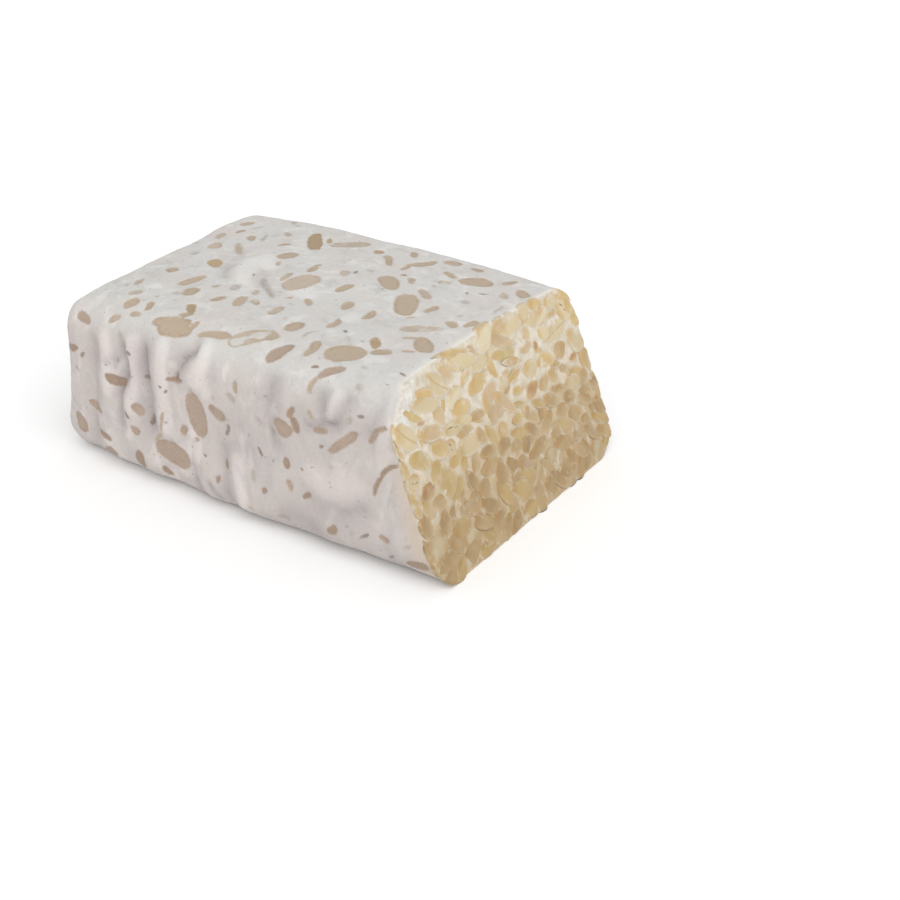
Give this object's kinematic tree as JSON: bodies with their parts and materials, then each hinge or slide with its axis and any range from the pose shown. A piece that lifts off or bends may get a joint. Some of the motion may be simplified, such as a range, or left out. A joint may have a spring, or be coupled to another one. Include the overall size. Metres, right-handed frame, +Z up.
{
  "type": "tempeh cake",
  "caption": "Rounded rectangular cake of soya bean tempeh in a white mycelium skin, with one end sliced off at a slant to show the beans.",
  "frame": {"origin": "middle of the base's bounding box, on the surface the cake lies on", "axes": "+X along the cake towards its cut end, +Y towards its back side, +Z up"},
  "size_m": [0.1466, 0.098, 0.052],
  "materials": {
    "mycelium": "matte, velvety",
    "beans": "satin, moist"
  },
  "bodies": {
    "root": {"tempeh_cake": "mycelium"}
  },
  "joints": []
}
